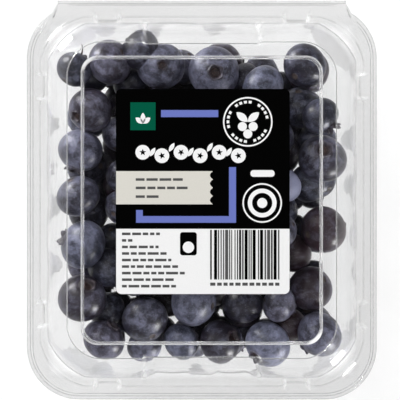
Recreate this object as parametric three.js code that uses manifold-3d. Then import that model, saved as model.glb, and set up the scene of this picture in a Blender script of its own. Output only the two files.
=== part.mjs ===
// Punnet of berries: a clear thermoformed tub with a hinged lid, a paper label on the lid's
// panel, and the heap of fruit inside. Millimetres, +Z up, the hinge on the +Y side.
// The origin is under the middle of the pack, on the surface that the foot ring stands on.

import * as THREE from "three";
import { mergeVertices } from "three/addons/utils/BufferGeometryUtils.js";
import Module from "manifold-3d";

const wasm = await Module();
wasm.setup();

// Driving dimensions of the pack
const sheet = 0.5;
const clearance = 0.3;
const flange = { halfX: 52.45, halfY: 59.1, centreY: -0.65, corner: 15.8, z: 27.75 };
const wallTop = { halfX: 46.2, halfY: 53.1, corner: 11, cut: 0.55, z: 26.95 };
const wallDraft = 0.2;
const ledge = 2.0;
const stepRun = 0.8;
const lipDepth = 1.05;
const wallBends = { upper: 19, lower: 11, heel: 4.6 };
const foot = { halfX: 36.8, halfY: 43.7, corner: 10, width: 5.3, turn: 2.6, turnZ: 1.7, floorRun: 1 };
const floorLift = 1.25;
const lidBend = { halfX: 40.1, halfY: 47.1, corner: 9, cut: 0.2, z: 36.75 };
const panel = { halfX: 35.6, halfY: 42.6, corner: 5, depth: 1.5, run: 0.6 };
const lidOffset = sheet + clearance;

// Flutes of the tub's wall, the grip at the front and the notches in the step
const flutesPerSide = 4;
const flute = { top: 0.3, middle: 0.9, low: 0.6 };
const grip = { halfWidth: 17, ramp: 4, depth: 1.5, fadeZ: 12 };
const gripRib = { share: 0.6, halfTop: 2, halfBase: 5 };
const notch = { along: 28.4, alongEnds: 34.2, halfBase: 4.3, halfTop: 2.8, depth: 1.1 };

// Hinge fold along the back edge
const hinge = { halfLength: 43.3, reach: 2.4, y: 59.55, z: 28.15, radius: 0.45 };
const hingeEnd = { slantX: 0.9, slantY: 1.7 };

// Paper label, a little nearer the hinge than the middle of the panel
const label = { halfX: 25.9, halfY: 30.6, corner: 1.6, thickness: 0.25, lift: 0.05 };
const labelPlace = { x: 0.3, y: 2.6 };

// Points round each ring of the clear shells
const cornerSteps = 4;
const sideSteps = 16;

// The fruit that shows: x, y, diameter and the height it starts from, before it settles.
// It sinks no further than the settling's drop, so that it stays where it shows.
const seenFruit = [
  [-38.5, 39.6, 10.9, 19], [-27.8, 41.8, 13.9, 21], [-18.4, 45.3, 12.1, 25],
  [-12.3, 40.6, 14.5, 22], [-6.0, 40.9, 11.5, 16], [3.7, 38.8, 15.6, 22],
  [13.1, 36.4, 10.9, 14], [18.2, 37.6, 12.7, 16], [18.5, 34.3, 13.3, 22],
  [31.2, 40.8, 13.6, 22], [-33.5, 37.6, 10.3, 13], [-21.4, 35.2, 11.5, 15],
  [29.7, 28.2, 13.9, 16], [35.8, 25.5, 11.5, 20], [36.4, 12.6, 14.8, 22],
  [21.8, 18.8, 12.7, 18], [24.7, 4.5, 10.9, 23], [32.1, 5.2, 11.5, 16],
  [24.6, -2.9, 10.3, 16], [24.0, -9.0, 10.3, 20], [36.7, -8.8, 14.5, 22],
  [27.6, -15.9, 12.1, 17], [33.0, -26.8, 13.9, 20], [23.4, -31.4, 11.2, 23],
  [35.6, -40.5, 14.2, 22.5], [26.7, -37.7, 10.3, 12],
  [20.0, -43.5, 14.2, 19], [12.5, -31.4, 12.7, 20], [5.5, -42.9, 13.3, 18],
  [-2.5, -30.8, 14.8, 22], [-6.3, -42.9, 11.5, 17], [-17.2, -35.9, 14.2, 22],
  [-29.7, -42.4, 13.0, 20], [-29.0, -33.2, 11.5, 15], [-36.2, -29.6, 14.8, 22],
  [-27.8, -20.5, 13.3, 18], [-35.9, -13.5, 14.8, 22], [-27.2, -12.3, 11.5, 15],
  [-37.4, 1.3, 13.3, 22], [-24.4, -2.3, 10.6, 19], [-24.1, 7.7, 10.3, 16],
  [-37.4, 15.1, 13.9, 20], [-33.8, 27.3, 13.6, 22], [-24.4, 20.1, 12.1, 20],
  [-19.9, -23.5, 11.5, 18],
];

// The fruit that the label and the upper fruit hide
const underLabel = { columns: 3, rows: 5, stepX: 12.5, stepY: 12, startX: -13.5, startY: -19, z: 21 };
const lowerLayer = { columns: 6, rows: 8, stepX: 13, stepY: 11.5, z: 8.5 };
const hiddenFruit = { smallest: 11, spread: 4, jitter: 1.6 };
const fruitCore = { halfX: 36.5, halfY: 43.5, corner: 12, bottom: 2.6, top: 19.2 };
const settling = { passes: 220, sink: 0.03, softness: 0.97, ceiling: 29.6, drop: 4 };
const fruitRoom = 0.8;

// How much wider than its radius a fruit's reach is, and the share of the wall's corner it may use
const fruitReach = 1.02;
const cornerShare = 0.86;

// Faceted balls are a little over their radius, so that their middles come out true
const facetAllowance = { upper: 1.03, lower: 1.08 };
const drawSeed = 4217;

// Colours, as they look in the pack
const looks = {
  clear: { color: 0xdfe3e4, roughness: 0.08, metalness: 0 },
  paper: { color: 0x14141a, roughness: 0.5, metalness: 0 },
  fruit: { color: 0x3b3d4d, roughness: 0.7, metalness: 0 },
};

function ramp(value, start, end) {
  return Math.min(1, Math.max(0, (value - start) / (end - start)));
}

// How far the step moves towards the wall where a notch crosses it
function notchDepth(along, centre) {
  const off = Math.abs(Math.abs(along) - centre);
  return notch.depth * (1 - ramp(off, notch.halfTop, notch.halfBase));
}

// How far the front wall moves in at the grip, with a shallow rib in its middle
function gripDepth(x) {
  const edge = 1 - ramp(Math.abs(x), grip.halfWidth - grip.ramp, grip.halfWidth);
  const rib = gripRib.share * (1 - ramp(Math.abs(x), gripRib.halfTop, gripRib.halfBase));
  return grip.depth * edge * (1 - rib);
}

function straightPoint(side, x, y, share, spec) {
  const wave = Math.sin(Math.PI * flutesPerSide * share);
  const out = (spec.flute ?? 0) * wave * wave;
  const outX = side.normalX;
  const outY = side.normalY;
  const along = outX === 0 ? x : y;
  const centre = outX === 0 ? notch.along : notch.alongEnds;
  const notched = spec.notched ? notchDepth(along, centre) : 0;
  const gripped = spec.gripped && outY < 0 ? spec.gripped * gripDepth(x) : 0;
  const shift = out - notched - gripped;
  return [x + outX * shift, y + outY * shift, spec.z];
}

// One ring round a rounded rectangle, anticlockwise from the end of the +X side
function ring(spec) {
  const corners = [[1, 1], [-1, 1], [-1, -1], [1, -1]];
  const sides = [
    { normalX: 0, normalY: 1 }, { normalX: -1, normalY: 0 },
    { normalX: 0, normalY: -1 }, { normalX: 1, normalY: 0 },
  ];
  const arcs = corners.map(([signX, signY], quarter) => {
    const centreX = signX * (spec.halfX - spec.corner);
    const centreY = (spec.centreY ?? 0) + signY * (spec.halfY - spec.corner);
    const arc = [];
    for (let step = 0; step <= cornerSteps; step += 1) {
      const angle = (Math.PI / 2) * (quarter + step / cornerSteps);
      arc.push([centreX + spec.corner * Math.cos(angle), centreY + spec.corner * Math.sin(angle)]);
    }
    return arc;
  });
  const points = [];
  arcs.forEach((arc, quarter) => {
    const [firstX, firstY] = arc[0];
    const [lastX, lastY] = arc[cornerSteps];
    arc.forEach(([x, y], step) => {
      const share = step / cornerSteps;
      const cut = spec.cut ?? 0;
      const chordX = firstX + (lastX - firstX) * share;
      const chordY = firstY + (lastY - firstY) * share;
      points.push([x + (chordX - x) * cut, y + (chordY - y) * cut, spec.z]);
    });
    const [nextX, nextY] = arcs[(quarter + 1) % 4][0];
    for (let step = 1; step < sideSteps; step += 1) {
      const share = step / sideSteps;
      const x = lastX + (nextX - lastX) * share;
      const y = lastY + (nextY - lastY) * share;
      points.push(straightPoint(sides[quarter], x, y, share, spec));
    }
  });
  return points;
}

// A closed solid through a row of rings with as many points each, shut by a fan at both ends
function loft(rings) {
  const count = rings[0].length;
  const positions = rings.flat(2);
  const index = [];
  for (let row = 0; row + 1 < rings.length; row += 1) {
    for (let i = 0; i < count; i += 1) {
      const next = (i + 1) % count;
      const a = row * count + i;
      const b = row * count + next;
      index.push(a, b, b + count, a, b + count, a + count);
    }
  }
  const lastRow = (rings.length - 1) * count;
  for (const [row, flip] of [[0, true], [lastRow, false]]) {
    const centre = positions.length / 3;
    const middle = [0, 0, 0];
    for (let i = 0; i < count; i += 1) {
      middle.forEach((value, axis) => {
        middle[axis] = value + positions[(row + i) * 3 + axis] / count;
      });
    }
    positions.push(...middle);
    for (let i = 0; i < count; i += 1) {
      const pair = [row + i, row + ((i + 1) % count)];
      index.push(centre, ...(flip ? pair.reverse() : pair));
    }
  }
  const geometry = new THREE.BufferGeometry();
  geometry.setAttribute("position", new THREE.Float32BufferAttribute(positions, 3));
  geometry.setIndex(index);
  return facingOut(geometry);
}

function facingOut(geometry) {
  const at = geometry.getAttribute("position");
  const index = geometry.getIndex().array;
  const [a, b, c] = [new THREE.Vector3(), new THREE.Vector3(), new THREE.Vector3()];
  let volume = 0;
  for (let i = 0; i < index.length; i += 3) {
    a.fromBufferAttribute(at, index[i]);
    b.fromBufferAttribute(at, index[i + 1]);
    c.fromBufferAttribute(at, index[i + 2]);
    volume += a.dot(b.cross(c));
  }
  if (volume < 0) {
    geometry.setIndex(Array.from(index).reverse());
  }
  return geometry;
}

// The profile's middle line moved by a distance along its normal, with mitred bends
function offsetProfile(profile, distance) {
  return profile.map((spec, i) => {
    const before = profile[Math.max(0, i - 1)];
    const after = profile[Math.min(profile.length - 1, i + 1)];
    const normals = [];
    for (const [from, to] of [[before, spec], [spec, after]]) {
      const run = to.halfX - from.halfX;
      const rise = to.z - from.z;
      const length = Math.hypot(run, rise);
      if (length > 0) {
        normals.push([rise / length, -run / length]);
      }
    }
    const first = normals[0];
    const last = normals[normals.length - 1];
    const across = 1 + first[0] * last[0] + first[1] * last[1];
    const out = (distance * (first[0] + last[0])) / across;
    const up = (distance * (first[1] + last[1])) / across;
    return {
      ...spec,
      halfX: spec.halfX + out,
      halfY: spec.halfY + out,
      corner: spec.corner + out,
      z: spec.z + up,
    };
  });
}

// A sheet shell whose middle line is the profile, from its outer edge in to its centre
function shell(profile) {
  const one = offsetProfile(profile, sheet / 2).map(ring);
  const other = offsetProfile(profile, -sheet / 2).map(ring);
  return loft([...one.reverse(), ...other]);
}

function solid(geometry) {
  const bare = geometry.clone();
  bare.deleteAttribute("normal");
  bare.deleteAttribute("uv");
  const merged = mergeVertices(bare, 1e-4);
  return new wasm.Manifold(new wasm.Mesh({
    numProp: 3,
    vertProperties: new Float32Array(merged.getAttribute("position").array),
    triVerts: new Uint32Array(merged.getIndex().array),
  }));
}

function geometryOf(joined) {
  const mesh = joined.getMesh();
  const geometry = new THREE.BufferGeometry();
  geometry.setAttribute("position", new THREE.BufferAttribute(new Float32Array(mesh.vertProperties), 3));
  geometry.setIndex(new THREE.BufferAttribute(new Uint32Array(mesh.triVerts), 1));
  return geometry;
}

// The rings of a flange, its step and its ledge, the step turned up (+1) or down (-1)
function flangeProfile(z, turn) {
  const inset = (amount, more) => ({
    halfX: flange.halfX - amount,
    halfY: flange.halfY - amount,
    centreY: flange.centreY,
    corner: flange.corner - amount,
    ...more,
  });
  const stepX = wallTop.halfX + ledge;
  const stepTop = {
    halfX: stepX,
    halfY: wallTop.halfY + ledge,
    centreY: flange.centreY / 2,
    corner: wallTop.corner + ledge,
    cut: wallTop.cut / 2,
    notched: true,
    z: z + turn * stepRun,
  };
  const stepFoot = {
    ...stepTop,
    halfX: stepX + stepRun,
    halfY: stepTop.halfY + stepRun,
    corner: stepTop.corner + stepRun,
    z,
  };
  return [inset(0, { z }), stepFoot, stepTop];
}

function hingeStrip(y, z) {
  const outline = new THREE.Shape();
  const root = hinge.halfLength + hingeEnd.slantX;
  outline.moveTo(-root, y - hinge.reach);
  outline.lineTo(root, y - hinge.reach);
  outline.lineTo(root, y - hingeEnd.slantY);
  outline.lineTo(hinge.halfLength, y);
  outline.lineTo(-hinge.halfLength, y);
  outline.lineTo(-root, y - hingeEnd.slantY);
  outline.closePath();
  const strip = new THREE.ExtrudeGeometry(outline, { depth: sheet, bevelEnabled: false });
  strip.translate(0, 0, z - sheet / 2);
  return solid(strip);
}

function hingeBead() {
  const bead = new THREE.CylinderGeometry(hinge.radius, hinge.radius, 2 * hinge.halfLength, 10);
  bead.rotateZ(Math.PI / 2);
  bead.translate(0, hinge.y, hinge.z);
  return solid(bead);
}

// The wall's ring at a height, narrower by the draft towards the floor
function wallRing(z, fluteDepth) {
  const inset = (wallTop.z - z) * wallDraft;
  return {
    halfX: wallTop.halfX - inset,
    halfY: wallTop.halfY - inset,
    corner: wallTop.corner,
    cut: wallTop.cut,
    gripped: ramp(z, grip.fadeZ, wallTop.z),
    flute: fluteDepth,
    z,
  };
}

function footRing(inset, z) {
  return {
    halfX: foot.halfX - inset,
    halfY: foot.halfY - inset,
    corner: foot.corner - inset / 2,
    z,
  };
}

function tubGeometry() {
  const [edge, stepFoot, stepTop] = flangeProfile(flange.z, -1);
  const lip = { ...edge, z: edge.z - lipDepth };
  const profile = [
    lip, edge, stepFoot, stepTop,
    wallRing(wallTop.z, flute.top),
    wallRing(wallBends.upper, flute.middle),
    wallRing(wallBends.lower, flute.middle),
    wallRing(wallBends.heel, flute.low),
    { ...wallRing(foot.turnZ, 0), ...footRing(-foot.turn, foot.turnZ), gripped: 0 },
    footRing(0, sheet / 2),
    footRing(foot.width, sheet / 2),
    footRing(foot.width + foot.floorRun, sheet / 2 + floorLift),
  ];
  const strip = hingeStrip(hinge.y - hinge.radius / 2, flange.z);
  return geometryOf(solid(shell(profile)).add(strip).add(hingeBead()));
}

function lidGeometry() {
  const z = flange.z + lidOffset;
  const [edge, stepFoot, stepTop] = flangeProfile(z, 1);
  const profile = [
    edge, stepFoot, stepTop,
    { ...wallRing(wallTop.z, 0), gripped: 1, z: z + stepRun },
    lidBend,
    { ...panel, z: lidBend.z },
    {
      halfX: panel.halfX - panel.run,
      halfY: panel.halfY - panel.run,
      corner: panel.corner - panel.run / 2,
      z: lidBend.z - panel.depth,
    },
  ];
  const strip = hingeStrip(hinge.y - hinge.radius - clearance, z);
  return geometryOf(solid(shell(profile)).add(strip));
}

function labelGeometry() {
  const { halfX, halfY, corner } = label;
  const outline = new THREE.Shape();
  outline.moveTo(halfX, halfY - corner);
  outline.absarc(halfX - corner, halfY - corner, corner, 0, Math.PI / 2);
  outline.absarc(corner - halfX, halfY - corner, corner, Math.PI / 2, Math.PI);
  outline.absarc(corner - halfX, corner - halfY, corner, Math.PI, 1.5 * Math.PI);
  outline.absarc(halfX - corner, corner - halfY, corner, 1.5 * Math.PI, 2 * Math.PI);
  outline.closePath();
  const paper = new THREE.ExtrudeGeometry(outline, {
    depth: label.thickness,
    bevelEnabled: false,
    curveSegments: 3,
  });
  const panelTop = lidBend.z - panel.depth + sheet / 2;
  paper.translate(labelPlace.x, labelPlace.y, panelTop + label.lift);
  return geometryOf(solid(paper));
}

// Repeatable draws from 0 to 1
function makeDraw() {
  let state = drawSeed;
  return () => {
    state = (state * 16807) % 2147483647;
    return state / 2147483647;
  };
}

// Every piece of fruit before it settles: what shows keeps its place, the rest may move
function scatterFruit() {
  const draw = makeDraw();
  const fruit = seenFruit.map(([x, y, size, z]) => {
    return { x, y, z, radius: size / 2, shown: true, rest: z - settling.drop };
  });
  const hidden = (x, y, z, lower) => {
    const radius = (hiddenFruit.smallest + hiddenFruit.spread * draw()) / 2;
    const offX = hiddenFruit.jitter * (draw() - 0.5);
    const offY = hiddenFruit.jitter * (draw() - 0.5);
    fruit.push({ x: x + offX, y: y + offY, z, radius, shown: false, rest: 0, lower });
  };
  for (let row = 0; row < underLabel.rows; row += 1) {
    for (let column = 0; column < underLabel.columns; column += 1) {
      const x = underLabel.startX + column * underLabel.stepX;
      const y = underLabel.startY + row * underLabel.stepY;
      hidden(x, y, underLabel.z, false);
    }
  }
  for (let row = 0; row < lowerLayer.rows; row += 1) {
    const odd = row % 2;
    for (let column = 0; column < lowerLayer.columns - odd; column += 1) {
      const x = (column + 0.5 * odd - (lowerLayer.columns - 1) / 2) * lowerLayer.stepX;
      const y = (row - (lowerLayer.rows - 1) / 2) * lowerLayer.stepY;
      hidden(x, y, lowerLayer.z, true);
    }
  }
  return fruit;
}

function keepInside(one) {
  const reach = one.radius * fruitReach;
  const inset = (wallTop.z - one.z) * wallDraft;
  const limitX = wallTop.halfX - inset - fruitRoom;
  const limitY = wallTop.halfY - inset - fruitRoom;
  const lowest = Math.max(one.rest, sheet + floorLift + fruitRoom + one.radius);
  one.z = Math.max(lowest, Math.min(one.z, settling.ceiling - one.radius));
  one.x = Math.max(reach - limitX, Math.min(one.x, limitX - reach));
  one.y = Math.max(reach - limitY, Math.min(one.y, limitY - reach));
  const signX = one.x < 0 ? -1 : 1;
  const signY = one.y < 0 ? -1 : 1;
  const offX = one.x * signX - (limitX - wallTop.corner);
  const offY = one.y * signY - (limitY - wallTop.corner);
  const room = wallTop.corner * cornerShare - reach;
  const off = Math.sqrt(offX * offX + offY * offY);
  if (offX > 0 && offY > 0 && off > room) {
    const share = Math.max(0, room) / off;
    one.x = signX * (limitX - wallTop.corner + offX * share);
    one.y = signY * (limitY - wallTop.corner + offY * share);
  }
}

// Pushes touching fruit apart while it sinks, so that the heap lies as poured
function settle(fruit) {
  for (let pass = 0; pass < settling.passes; pass += 1) {
    for (const one of fruit) {
      one.z -= settling.sink;
    }
    for (let i = 0; i < fruit.length; i += 1) {
      for (let j = i + 1; j < fruit.length; j += 1) {
        const a = fruit[i];
        const b = fruit[j];
        const reach = (a.radius + b.radius) * settling.softness;
        const x = b.x - a.x;
        const y = b.y - a.y;
        const z = b.z - a.z;
        const square = x * x + y * y + z * z;
        if (square < reach * reach) {
          const apart = Math.sqrt(square);
          const push = (0.5 * (reach - apart)) / apart;
          for (const [one, way] of [[a, -push], [b, push]]) {
            one.x += one.shown ? 0 : way * x;
            one.y += one.shown ? 0 : way * y;
            one.z += way * z;
          }
        }
      }
    }
    fruit.forEach(keepInside);
  }
  return fruit;
}

function fruitSolid(one) {
  const ball = one.lower
    ? new THREE.OctahedronGeometry(one.radius * facetAllowance.lower, 1)
    : new THREE.IcosahedronGeometry(one.radius * facetAllowance.upper, 1);
  ball.translate(one.x, one.y, one.z);
  return solid(ball);
}

function coreSolid() {
  const { halfX, halfY, corner, bottom, top } = fruitCore;
  const outline = new THREE.Shape();
  outline.moveTo(halfX, corner - halfY);
  outline.lineTo(halfX, halfY - corner);
  outline.lineTo(halfX - corner, halfY);
  outline.lineTo(corner - halfX, halfY);
  outline.lineTo(-halfX, halfY - corner);
  outline.lineTo(-halfX, corner - halfY);
  outline.lineTo(corner - halfX, -halfY);
  outline.lineTo(halfX - corner, -halfY);
  outline.closePath();
  const core = new THREE.ExtrudeGeometry(outline, { depth: top - bottom, bevelEnabled: false });
  core.translate(0, 0, bottom);
  return solid(core);
}

// The fruit fused on its core, without the hollows that the fusing seals
function heapGeometry() {
  const fruit = settle(scatterFruit());
  let heap = coreSolid();
  for (const one of fruit) {
    heap = heap.add(fruitSolid(one));
  }
  const pieces = heap.decompose();
  pieces.sort((first, second) => second.volume() - first.volume());
  return geometryOf(pieces[0]);
}

function namedMesh(name, geometry, look) {
  const material = new THREE.MeshStandardMaterial(look);
  const mesh = new THREE.Mesh(geometry, material);
  mesh.name = name;
  return mesh;
}

const punnet = new THREE.Group();
punnet.add(namedMesh("base_tub", tubGeometry(), looks.clear));
punnet.add(namedMesh("lid", lidGeometry(), looks.clear));
punnet.add(namedMesh("label", labelGeometry(), looks.paper));
punnet.add(namedMesh("berry_heap", heapGeometry(), looks.fruit));

export default punnet;
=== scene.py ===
import math

import bpy
import numpy as np
from mathutils import Matrix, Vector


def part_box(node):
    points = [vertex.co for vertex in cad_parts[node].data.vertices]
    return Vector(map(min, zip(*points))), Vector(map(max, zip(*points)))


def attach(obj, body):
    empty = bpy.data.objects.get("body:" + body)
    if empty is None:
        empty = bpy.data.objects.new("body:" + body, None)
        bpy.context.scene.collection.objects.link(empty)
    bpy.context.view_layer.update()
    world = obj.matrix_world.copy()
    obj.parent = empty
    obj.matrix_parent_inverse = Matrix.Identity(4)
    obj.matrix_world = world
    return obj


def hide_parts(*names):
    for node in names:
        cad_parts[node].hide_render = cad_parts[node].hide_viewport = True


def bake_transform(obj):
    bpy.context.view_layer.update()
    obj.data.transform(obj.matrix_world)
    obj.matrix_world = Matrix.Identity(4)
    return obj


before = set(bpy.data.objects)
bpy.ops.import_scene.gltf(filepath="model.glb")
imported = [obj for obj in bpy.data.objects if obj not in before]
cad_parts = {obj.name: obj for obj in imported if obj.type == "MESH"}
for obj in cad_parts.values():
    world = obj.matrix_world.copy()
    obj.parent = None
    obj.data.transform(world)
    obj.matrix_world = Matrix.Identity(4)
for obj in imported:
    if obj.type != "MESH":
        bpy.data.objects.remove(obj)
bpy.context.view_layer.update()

# The pack of berries, seen from straight above. Sizes here are millimetres, and MM turns
# them into Blender's metres when a mesh is made.
MM = 0.001

# The pack's form, as in the CAD solids but for its thinner sheet
SHEET = 0.3
FLANGE = {"half_x": 52.45, "half_y": 59.1, "centre_y": -0.65, "corner": 15.8, "z": 27.75}
LID_OFFSET = 0.8
WALL_TOP = {"half_x": 46.2, "half_y": 53.1, "corner": 11.0, "cut": 0.55, "z": 26.95}
WALL_DRAFT = 0.2
LEDGE = 2.0
STEP_RUN = 0.8
LIP_DEPTH = 1.05
FOOT = {"half_x": 36.8, "half_y": 43.7, "corner": 10.0, "width": 5.3}
FLOOR_LIFT = 1.25
SHOULDER = {"half_x": 44.0, "half_y": 50.9, "corner": 10.3, "z": 31.3}
LID_BEND = {"half_x": 40.1, "half_y": 47.1, "corner": 9.0, "z": 36.75}
PANEL = {"half_x": 36.0, "half_y": 43.0, "corner": 5.0, "depth": 1.5, "run": 0.8, "slant": 0.62}
FLUTES_PER_SIDE = 4
FLUTE = {"top": 0.3, "middle": 0.9, "low": 0.6}
GRIP = {"half_width": 17.0, "ramp": 4.0, "depth": 1.5, "low_z": 12.0,
        "rib": 0.6, "rib_inner": 2.0, "rib_outer": 5.0}
# The notches, the slopes' recess and the sheet's bends carry a crease value that whitens the sheet: partly
# the real whitening of creased sheet, partly a painted highlight standing in for the light lines that the
# bends catch
NOTCH = {"along": 28.4, "along_ends": 34.2, "half_base": 4.6, "half_top": 2.6, "depth": 1.1,
         "crease": 2.0}
RECESS = {"half_width": 17.9, "ramp": 1.4, "depth": 0.45, "crease": 0.95}
CREASE = {"wall": 0.9, "bend": 0.9, "panel_top": 0.95, "panel_foot": 0.35, "half": 0.15, "whitening_and_glint": 0.36}
# How much whiter the panel's line is painted midway round two opposite corners, top left and bottom right:
# a painted highlight where the side lamps' glint falls
PAINTED_CORNER_HIGHLIGHT = {1: 1.3, 3: 1.3}
HINGE = {"half_length": 43.3, "y": 59.55, "z": 28.15, "slant_x": 0.9, "slant_y": 1.7,
         "thick": 0.24, "fold_steps": 12, "lengths": 48}
TAB_EDGE = 59.2
# Behind this line lies the hinge's side of the flange. Its lip turns down over a run past the
# hinge's ends, and its raised lines fade near those ends.
BACK_SIDE = 50.0
LIP_FADE = 8.0
BAND_FADE = {"start": 2.0, "end": 6.0}
RIM_LINES = {"first": 0.9, "second": 1.8, "half": 0.08, "height": 0.45}

# Points round each ring of the clear shells, and rows in each rounded bend
CORNER_STEPS = 26
SIDE_STEPS = 104
BEND_STEPS = 4

# Berries that show: x, y, diameter and starting height, then how waxy they look and how brown
# their dark skin is. A crown that shows is given last: where it points to, as shares of the
# radius across and up, then its own radius and how far its dried lobes stand out.
SEEN = [
    (-38.5, 39.6, 10.9, 19, 0.25, 0.1), (-27.8, 41.8, 13.9, 21, 0.45, 0.4),
    (-18.4, 45.3, 12.1, 25, 0.22, 0.2), (-12.3, 40.6, 14.5, 22, 0.50, 0.2, (0.06, 0.02, 0.16, 0.02)),
    (-6.0, 40.9, 11.5, 16, 0.55, 0.3), (3.7, 38.8, 15.6, 22, 0.60, 0.2, (0.05, -0.07, 0.23, 0.05)),
    (13.1, 36.4, 10.9, 14, 0.20, 0.2), (18.2, 37.6, 12.7, 16, 0.30, 0.2), (18.5, 34.3, 13.3, 22, 0.60, 0.0),
    (31.2, 40.8, 13.6, 22, 0.27, 0.2), (-33.5, 37.6, 10.3, 13, 0.10, 0.1),
    (-21.4, 35.2, 11.5, 15, 0.10, 0.1), (29.7, 28.2, 13.9, 16, 0.25, 0.1),
    (35.8, 25.5, 11.5, 20, 0.30, 0.1, (0.68, -0.70, 0.26, 0.20)),
    (36.4, 12.6, 14.8, 22, 0.40, 0.3, (0.04, 0.45, 0.30, 0.05)), (21.8, 18.8, 12.7, 18, 0.30, 0.1),
    # The berry at 24.7, 4.5 has a bloom of 1.80, past full wax: painted light that lifts it out of the
    # label's shadow
    (24.7, 4.5, 10.9, 23, 1.80, 0.0), (32.1, 5.2, 11.5, 16, 0.25, 0.1), (24.6, -2.9, 10.3, 16, 0.35, 0.1),
    (24.0, -9.0, 10.3, 20, 0.55, 0.3), (36.7, -8.8, 14.5, 22, 0.15, 0.9),
    (27.6, -15.9, 12.1, 17, 0.15, 0.8), (33.0, -26.8, 13.9, 20, 0.30, 0.7),
    (23.4, -31.4, 11.2, 23, 0.55, 0.4), (35.6, -40.5, 14.2, 22.5, 0.55, 0.2),
    (26.7, -37.7, 10.3, 12, 0.10, 0.9), (20.0, -43.5, 14.2, 19, 0.65, 0.0, (-0.6, -0.6, 0.24, 0.05)),
    (12.5, -31.4, 12.7, 20, 0.12, 0.2), (5.5, -42.9, 13.3, 18, 0.20, 0.3, (0.7, 0.27, 0.28, 0.05)),
    (-2.5, -30.8, 14.8, 22, 0.65, 0.1), (-6.3, -42.9, 11.5, 17, 0.40, 0.0),
    (-17.2, -35.9, 14.2, 22, 0.35, 0.2), (-29.7, -42.4, 13.0, 20, 0.50, 0.4, (0.56, 0.8, 0.28, 0.05)),
    (-29.0, -33.2, 11.5, 15, 0.15, 0.1), (-36.2, -29.6, 14.8, 22, 0.32, 0.4, (0.26, 0.64, 0.28, 0.05)),
    (-27.8, -20.5, 13.3, 18, 0.25, 0.1), (-35.9, -13.5, 14.8, 22, 0.55, 0.0, (-0.9, 0.36, 0.26, 0.09)),
    (-27.2, -12.3, 11.5, 15, 0.20, 0.1), (-37.4, 1.3, 13.3, 22, 0.45, 0.2),
    (-24.4, -2.3, 10.6, 19, 0.35, 0.2), (-24.1, 7.7, 10.3, 16, 0.30, 0.2),
    (-37.4, 15.1, 13.9, 20, 0.50, 0.2, (-0.35, -0.92, 0.28, 0.10)),
    (-33.8, 27.3, 13.6, 22, 0.34, 0.4, (-0.67, -0.33, 0.20, 0.04)), (-24.4, 20.1, 12.1, 20, 0.45, 0.2),
    (-19.9, -23.5, 11.5, 18, 0.25, 0.1),
]
SEGMENTS = 40
LOBES = 5
STALK = {"berry": 0, "points_to": (0.42, 0.86, 0.30), "length": 3.0, "thick": 0.5}
UNDER_LABEL = {"columns": 3, "rows": 5, "step_x": 12.5, "step_y": 12.0, "x": -13.5, "y": -19.0, "z": 21}
LOWER_LAYER = {"columns": 6, "rows": 8, "step_x": 13.0, "step_y": 11.5, "z": 8.5}
HIDDEN = {"smallest": 11.0, "spread": 4.0, "jitter": 1.6}
SETTLING = {"passes": 220, "sink": 0.03, "softness": 0.97, "ceiling": 29.6, "drop": 4.0}
CAD_SHEET = 0.5
FRUIT_ROOM = {"wall": 0.8, "swell": 1.02, "corner": 0.86}
DRAW_SEED = 4217
LOOK_SEED = 61

# Where the pale floor shows through the heap, as x, y and half the gap's width
GAPS = [
    (-30.5, 33.5, 0.7), (-31.2, 18.8, 0.9), (31.2, -3.5, 1.4), (33.9, -17.8, 1.6),
    (27.9, -22.3, 1.0), (-35.0, -37.7, 1.0), (-12.6, -41.0, 0.8), (-8.1, -36.4, 0.9),
    (6.1, -34.4, 0.9), (19.4, -35.3, 0.9), (38.4, 32.8, 1.6), (-27.0, -26.9, 0.6),
    (-21.4, -29.3, 0.7), (25.0, 41.0, 1.3), (21.5, 47.5, 2.0),
]

# Small berries that close the holes deep in the heap, and the painted shade on what lies deep: berries
# there get a dark skin, as the shade deep in the heap would darken them
FILLER = {"half_x": 34.0, "half_y": 41.0, "grid": 1.25, "z": 7.5, "radius": 4.6}
DEEP_SHADE = {"half_x": 30.0, "half_y": 37.0, "bloom": 0.05}

# The label's print, in the label's own millimetres from its middle
LABEL = {"half_x": 25.9, "half_y": 30.6, "x": 0.3, "y": 2.6, "corner": 1.6}
# How thick each level of ink is, and how far down its plates reach into the paper
INK = 0.03
INK_ROOT = -0.02
# The inks, in the order of the print's materials
INKS = {
    "white": (0.93, 0.93, 0.93), "cream": (0.72, 0.70, 0.64), "green": (0.001, 0.098, 0.053),
    "blue": (0.155, 0.195, 0.54), "grey": (0.09, 0.09, 0.09), "black": (0.0006, 0.0006, 0.0006),
}

# The camera looks straight down from well above, as a studio camera with a long lens does
PICTURE = 400
PIXEL = 0.3008
PACK_MIDDLE = (201.8, 200.3)
CAMERA_REACH = 900.0
SENSOR = 36.0

# Light: the sky's level at each height (the sine of the angle up), how much the table glows, and
# each lamp's place, width, height and power. All but the key are for gloss alone.
SKY_STOPS = (
    (0.0, 0.16), (0.3, 0.28), (0.6, 0.34), (0.82, 0.62), (0.955, 0.98), (0.985, 0.02), (1.0, 0.012))
SKY_STRENGTH = 1.62
FLOOR_GLOW = 0.72
FLOOR_HALF = 3000.0
LAMPS = {
    "light_top_left": (-190, 190, 40, 60, 70, 0.9), "light_bottom_right": (190, -190, 40, 60, 70, 0.9),
    "light_key": (-420, 420, 520, 260, 260, 1.9),
}

# The clear sheet's colour straight through, over the thinned walls and on the thick rim, how it bends
# light, how much goes straight through its rim and its strip along the hinge, and the size of its waves.
# The walls' clearer tint and the rim's greyer one are partly the sheet's thickness and partly painted light
# that evens the shaded inside with the open flange.
SEE_THROUGH = (0.942, 0.942, 0.942, 1)
CLEAR_TINT = (0.956, 0.957, 0.959, 1)
RIM_TINT = (0.865, 0.866, 0.868, 1)
SHEET_IOR = 1.42
STRAIGHT_THROUGH = {"rim": 0.7, "hinge": 0.9}
WAVES = {"wide": 6.0, "fine": 1.6, "fine_share": 0.15}

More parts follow.
